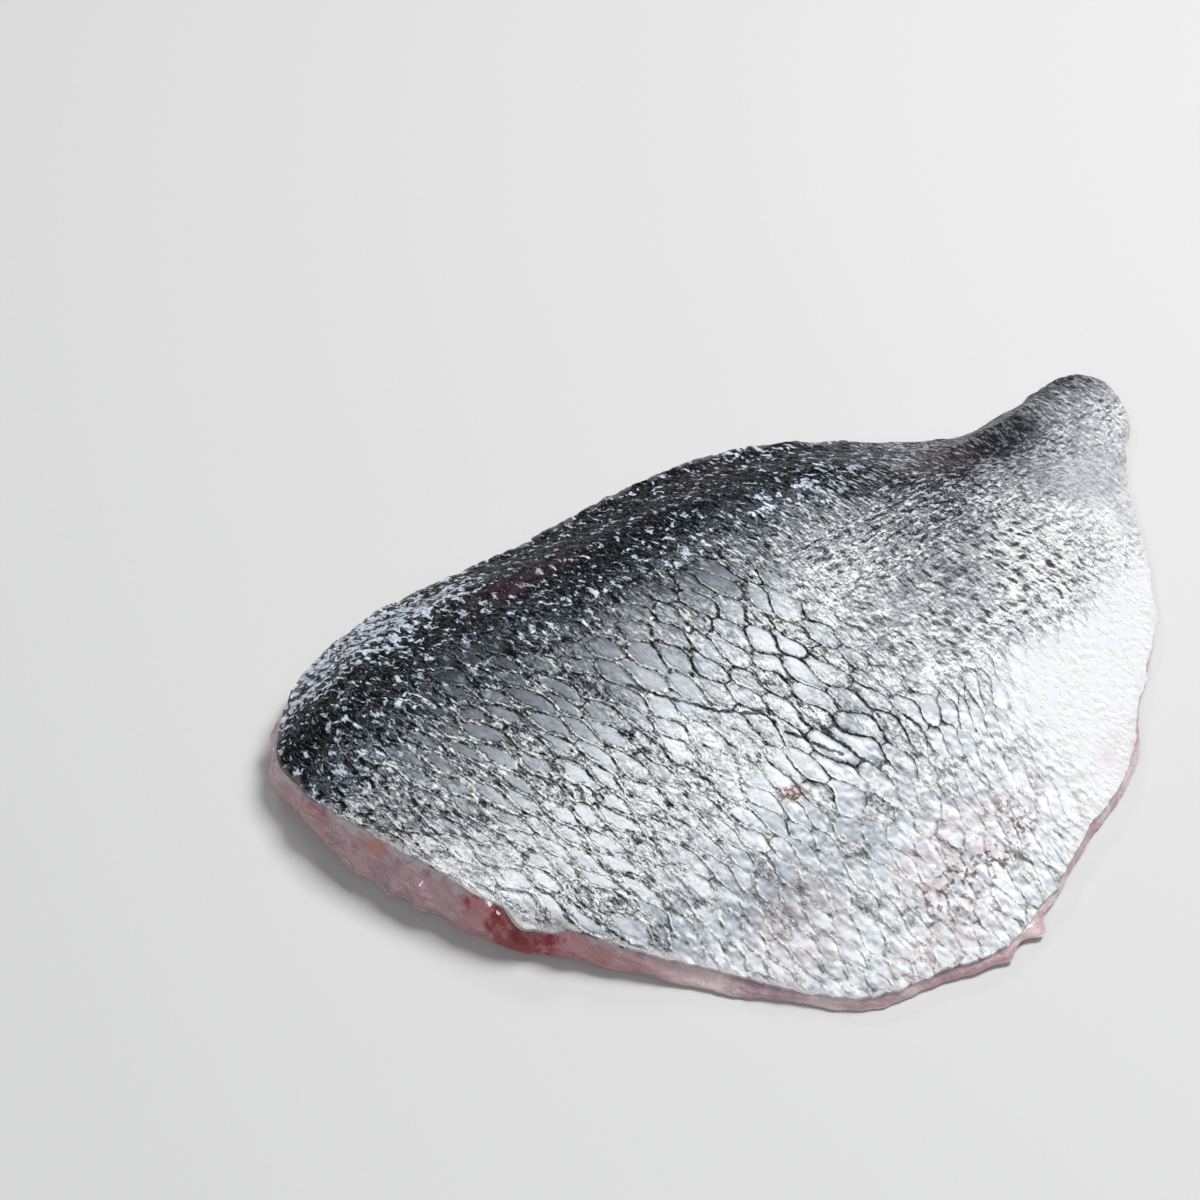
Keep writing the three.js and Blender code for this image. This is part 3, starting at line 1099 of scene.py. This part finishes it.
def add_scratches(s, at):
    """The scratchy texture between the windows: bright flecks that are partly silvery skin and partly
    painted glints, dark specks, and painted light and shade on small wrinkles.
    """
    at.rough_skin = at.grit * (1 - at.window * 0.92)
    glints = s.stretched(s.other(s.body, 15), 1, 0.55, 1)
    glints = s.noise(glints, 1.5, detail=3, roughness=0.6, distortion=0.5)
    lit_noise = lerp(strokes(s, at.streak, 0.85, 0), glints, at.dorsal)
    dark_noise = strokes(s, at.streak, 1.0, 40)
    patch = s.grain(5, 10) - 0.5
    # Bright flecks: partly the skin's silvery spots, partly painted glints of wet skin, most of all on
    # the dark back.
    fleck_and_glint = smooth(0.48, 0.58, lit_noise + patch * 0.16 + (at.sparkle - 0.5) * 0.14)
    unequal = 0.3 + s.grain(1.1, 130) * 1.3
    fleck_and_glint = fleck_and_glint * lerp(1, unequal, at.dorsal)
    bright = fleck_and_glint * (0.6 + at.dorsal * 0.4) + hairs(dark_noise, 0.016) * (0.5 - at.streak * 0.2)
    at.bright = clamp01(bright) * (1 - at.dashes * 0.5)
    speck = smooth(0.53, 0.6, dark_noise - patch * 0.08)
    dark = clamp01(speck * 0.85 + hairs(lit_noise, 0.016) * (0.85 - at.streak * 0.4))
    at.dark = dark * (1 - at.dashes * 0.65)
    # Painted light and shade on small wrinkles and on the belly's folds: lighter on the lit sides, darker
    # on the shaded sides.
    emboss = wrinkles(s, s.body, 1.5) * (1 - at.window * 0.75)
    emboss = emboss * (1 - at.dorsal * 0.7) * (0.25 + at.grit * 0.75)
    belly_fold_light_and_shade = wrinkles(s, s.stretched(s.other(s.body, 25), 1, 0.75, 1), 2.8)
    at.emboss = emboss * (1 - at.belly * 0.5) + belly_fold_light_and_shade * at.belly * (1 - at.window * 0.3)


def skin_tone(s, at):
    """How light the skin looks at each point, 0 to 1."""
    light = at.light
    # The pocket flaps' painted shadow darkens the tone here, and their painted highlight lightens it on
    # the next line.
    tone = light + at.window * 0.01 + (at.own - 0.5) * 0.07 * clamp01(at.net * 2) - at.shade * light * 0.2
    # Bright flecks add partly silvery skin and partly painted glints.
    tone = tone + at.rough_skin * at.bright * (0.9 - light * 0.62) + at.thread * (0.3 - light * 0.12)
    # The wrinkles' painted light and shade go into the tone here.
    tone = tone - at.rough_skin * at.dark * (0.06 + light * 0.58) + at.emboss * (0.4 + light * 1.1)
    tone = tone - at.hairline * light * (0.7 - at.belly * 0.4) - at.outline * (0.1 + light * 0.7)
    at.dash = dash_rows(s, at) * at.dashes
    cloud = (s.grain(4, 110, detail=3, roughness=0.6) - 0.5) * at.dashes
    tone = clamp01(tone - at.dash * light * 0.72 + cloud * 0.7)
    for start, stop in PALE_LINES:
        tone = lerp(tone, PALE_LINE_TONE, trace(at, start, stop, 1.5, (0.02, 0.16)) * 0.7)
    return tone


def skin_colour(s, at, tone):
    """Bluish grey to white by tone, with brown, pink and rust where the skin has them, and purple that is
    partly the skin's own and partly painted shadow.
    """
    grey = tone.math("POWER", TONE_POWER)
    tint = s.mix(tone * (1 - at.dorsal * 0.6), DARK_TINT, LIGHT_TINT)
    colour = s.scaled(tint, grey * 0.92 + 0.003)
    clear = s.scaled(WINDOW_TINT, grey * 0.9)
    colour = s.mix(at.window * (1 - at.light * 0.75), colour, clear)
    warm = smooth(0.52, 0.72, s.grain(7, 60))
    colour = s.mix(clamp01(at.outline + at.hairline) * warm * 0.45, colour, WARM_LINE)
    colour = s.mix(clamp01(at.dash * 0.55), colour, OLIVE_BROWN)
    vein = smooth(0.46, 0.6, s.grain(3.2, 80, distortion=0.6))
    colour = s.mix(clamp01(at.pink * (0.06 + vein * 0.3)), colour, BLUSH)
    # purple: partly the skin's own tint, partly painted shadow of a neighbouring fillet
    colour = s.mix(at.purple * 0.65 * smooth(0.35, 0.6, at.medium), colour, PURPLE_AND_SHADOW)
    specks = smooth(0.54, 0.6, s.grain(1.4, 70))
    colour = s.mix(clamp01(marks(at.along, at.across, RUST_MARKS) * specks * 0.85), colour, RUST)
    sore = marks(at.along, at.across, SORE_MARKS)
    colour = s.mix(sore * 0.5, colour, SORE_PINK)
    colour = s.mix(sore * smooth(0.45, 0.55, s.grain(1.0)) * 0.9, colour, SORE)
    bare = 1 - smooth(0.0, 1.6, at.edge_gap + (at.medium - 0.5) * 6 + (at.coarse - 0.5) * 6)
    return s.mix(clamp01(bare * (0.25 + at.beside_head * 0.75)), colour, SKIN_RIM)


def skin_material():
    """Wet fish skin: dark back, silver net of scale pockets, white belly."""
    s = Shader("wet_scaled_skin")
    at = s.stored(SKIN_ATTRIBUTES)
    at.coarse = s.grain(8, detail=3)
    at.medium = s.grain(2.6, detail=3, roughness=0.6)
    at.wobble_a = s.grain(1.5, detail=3, roughness=0.65) - 0.5
    at.wobble_b = s.grain(1.2, 30, detail=3, roughness=0.65) - 0.5
    at.wobble_c = s.grain(1.2, 90, detail=3, roughness=0.65) - 0.5
    add_pockets(s, at)
    add_scratches(s, at)
    colour = skin_colour(s, at, skin_tone(s, at))

    height = at.rough_skin * (at.bright - at.dark) * 0.22 - at.outline * 0.3
    height = height + (at.thread - at.hairline) * 0.14 - at.emboss * 0.2
    height = height + s.grain(0.7, detail=3) * 0.12
    dull = (at.medium - 0.5) * 0.2 + (at.outline + at.dark * at.rough_skin) * 0.3 - at.window * 0.04
    s.set(
        Base_Color=colour,
        Roughness=clamp01(0.36 + dull),
        Normal=s.bump(height, 0.9),
        Coat_Weight=0.12 - at.dorsal * 0.07,
        Coat_Roughness=0.1,
        Specular_IOR_Level=0.12 - at.dorsal * 0.06,
    )
    return s.material


FLESH_PALE = (0.52, 0.36, 0.39)
FLESH_PINK = (0.46, 0.25, 0.28)
FLESH_MAUVE = (0.29, 0.17, 0.23)
FLESH_SHADE = (0.24, 0.11, 0.15)
THIN_EDGE_PALE_AND_LIT = (0.74, 0.60, 0.59)
FAT_WHITE = (0.66, 0.62, 0.62)
BLOOD_WASH = (0.50, 0.16, 0.17)
BLOOD = (0.24, 0.018, 0.03)
SHEET_WHITE = (0.78, 0.70, 0.68)
ORANGE = (0.6, 0.22, 0.1)


def flesh_material():
    """Moist raw flesh: pale layer under the skin, pink muscle, thin white sheets between blocks."""
    s = Shader("moist_raw_flesh")
    at = s.stored(FLESH_ATTRIBUTES)
    at.coarse = s.grain(10, detail=3)
    at.medium = s.grain(3, detail=4, roughness=0.6)
    at.fine = s.grain(0.8, detail=3)
    fibre_place = s.vector(at.arc * 0.2, at.depth * 1.3 + at.arc * 0.12, 0.0)
    at.fibre = s.noise(fibre_place, 0.8, detail=3, roughness=0.65)
    at.cut = smooth(2, 5, at.tall)  # 1 where the cut face is tall
    phase = at.phase + (at.fine - 0.5) * 0.05
    seam = abs(phase - floor(phase + 0.5))
    sheet = 1 - smooth(0.015, 0.07, seam)
    at.sheet = sheet * at.underside * (0.2 + 0.6 * smooth(0.4, 0.6, at.medium))

    height = at.medium * 0.9 + at.fine * 0.45 + at.fibre * at.cut * 0.25 - at.sheet * 0.1
    s.set(
        Base_Color=flesh_colour(s, at),
        Roughness=clamp01(0.14 + at.medium * 0.2),
        Normal=s.bump(height, 0.8),
        Subsurface_Weight=0.3,
        Subsurface_Radius=(0.9, 0.35, 0.28),
        Subsurface_Scale=0.003,
        Coat_Weight=0.6,
        Coat_Roughness=0.06,
        Specular_IOR_Level=0.3,
    )
    return s.material


def flesh_colour(s, at):
    """Pink muscle, darker mauve lower down the cut (partly its own colour, partly painted shade), white
    under the skin and red where blood is.
    """
    coarse, medium = at.coarse, at.medium
    colour = s.mix(smooth(0.35, 0.68, coarse), FLESH_PALE, FLESH_PINK)
    colour = s.mix(smooth(0.5, 0.7, medium) * 0.55, colour, FLESH_MAUVE)
    # Darker mauve lower down the cut face: partly the flesh's own colour, partly painted shade near the
    # floor.
    low = smooth(3.5, 11, at.depth + (medium - 0.5) * 5) * at.cut * (1 - at.underside)
    colour = s.mix(low * 0.55, colour, FLESH_MAUVE)
    fat = 1 - smooth(0.1, 1.6, at.depth + (medium - 0.5) * 4 + (coarse - 0.5) * 4)
    colour = s.mix(clamp01(fat * at.cut * 0.6), colour, FAT_WHITE)
    colour = s.mix(smooth(0.53, 0.65, at.fibre) * at.cut * 0.25, colour, SHEET_WHITE)
    colour = s.mix(smooth(0.53, 0.66, 1 - at.fibre) * at.cut * 0.3, colour, FLESH_SHADE)
    colour = s.mix(clamp01(at.sheet), colour, SHEET_WHITE)
    # Paler colour on low, thin edges: partly the thin flesh's own paleness, partly painted light that
    # lifts the shade on the low wall.
    pale_and_lit_thin_edge = (1 - smooth(2.2, 4.5, at.tall)) * (1 - at.underside)
    colour = s.mix(pale_and_lit_thin_edge * smooth(0.38, 0.6, coarse), colour, THIN_EDGE_PALE_AND_LIT)
    wash = smooth(0.05, 0.9, at.blood + (coarse - 0.5) * 0.6 + (medium - 0.5) * 0.5)
    colour = s.mix(clamp01(wash * 0.75), colour, BLOOD_WASH)
    stain = smooth(0.5, 1.05, at.blood + (medium - 0.5) * 2.6 + (coarse - 0.5) * 1.5 - 0.12)
    colour = s.mix(clamp01(stain * 0.9), colour, BLOOD)
    speck = marks(at.along, at.across, ORANGE_MARKS) * (1 - smooth(1.5, 4, at.depth)) * at.cut
    return s.mix(speck * 0.6, colour, ORANGE)


# ---- stage, light and camera ----

FLOOR_SIZE = 6.0
FLOOR_COLOUR = (0.66, 0.66, 0.655, 1)
CAMERA_AZIMUTH = math.radians(-44.2)
CAMERA_ELEVATION = math.radians(40.92)
CAMERA_ROLL = math.radians(1.78)
CAMERA_DISTANCE = 0.5825
CAMERA_AIM = (90.5, 34.8, 0.0)  # along, across and height, in millimetres
FOCAL_LENGTH = 75.0
SENSOR_WIDTH = 36.0

# Lamps that face the middle: name, place, size, power and colour.
LAMPS = [
    ("key", (0.62, -0.05, 1.15), (0.55, 0.55), 17, (1.0, 1.0, 1.0)),
    ("fill", (-0.9, -0.75, 1.1), (1.2, 1.0), 4.5, (0.96, 0.98, 1.0)),
    ("back", (0.25, 1.2, 0.75), (0.3, 0.15), 2.5, (1.0, 1.0, 1.0)),
    ("side", (-1.05, -0.2, 0.75), (0.14, 0.14), 1.6, (1.0, 1.0, 1.0)),
]
SKY_COLOUR = (0.9, 0.93, 0.97, 1)
SKY_STRENGTH = 0.12


def build_floor():
    material = bpy.data.materials.new("pale_floor")
    material.use_nodes = True
    surface = material.node_tree.nodes["Principled BSDF"]
    surface.inputs["Base Color"].default_value = FLOOR_COLOUR
    surface.inputs["Roughness"].default_value = 0.7
    mesh = bpy.data.meshes.new("floor")
    half = FLOOR_SIZE / 2
    corners = [(-half, -half, 0), (half, -half, 0), (half, half, 0), (-half, half, 0)]
    mesh.from_pydata(corners, [], [(0, 1, 2, 3)])
    mesh.materials.append(material)
    add_object("floor", mesh)


def build_lights():
    for name, place, size, power, colour in LAMPS:
        light = bpy.data.lights.new(name, "AREA")
        light.shape = "RECTANGLE"
        light.size, light.size_y = size
        light.energy = power
        light.color = colour
        lamp = add_object(name, light)
        lamp.location = place
        lamp.rotation_euler = (-Vector(place)).to_track_quat("-Z", "Y").to_euler()
    world = bpy.data.worlds.new("studio")
    world.use_nodes = True
    background = world.node_tree.nodes["Background"]
    background.inputs["Color"].default_value = SKY_COLOUR
    background.inputs["Strength"].default_value = SKY_STRENGTH
    bpy.context.scene.world = world


def build_camera():
    a, e = CAMERA_AZIMUTH, CAMERA_ELEVATION
    back = Vector((math.sin(a) * math.cos(e), -math.cos(a) * math.cos(e), math.sin(e)))
    place = Vector(to_world([CAMERA_AIM])[0]) + back * CAMERA_DISTANCE
    turned = back.to_track_quat("Z", "Y").to_matrix().to_4x4() @ Matrix.Rotation(CAMERA_ROLL, 4, "Z")
    data = bpy.data.cameras.new("camera")
    data.lens = FOCAL_LENGTH
    data.sensor_width = SENSOR_WIDTH
    camera = add_object("camera", data)
    camera.matrix_world = Matrix.Translation(place) @ turned
    bpy.context.scene.camera = camera


bpy.context.scene.view_settings.view_transform = "Standard"
build_camera()
build_lights()
build_floor()
build_skin()
build_flesh()
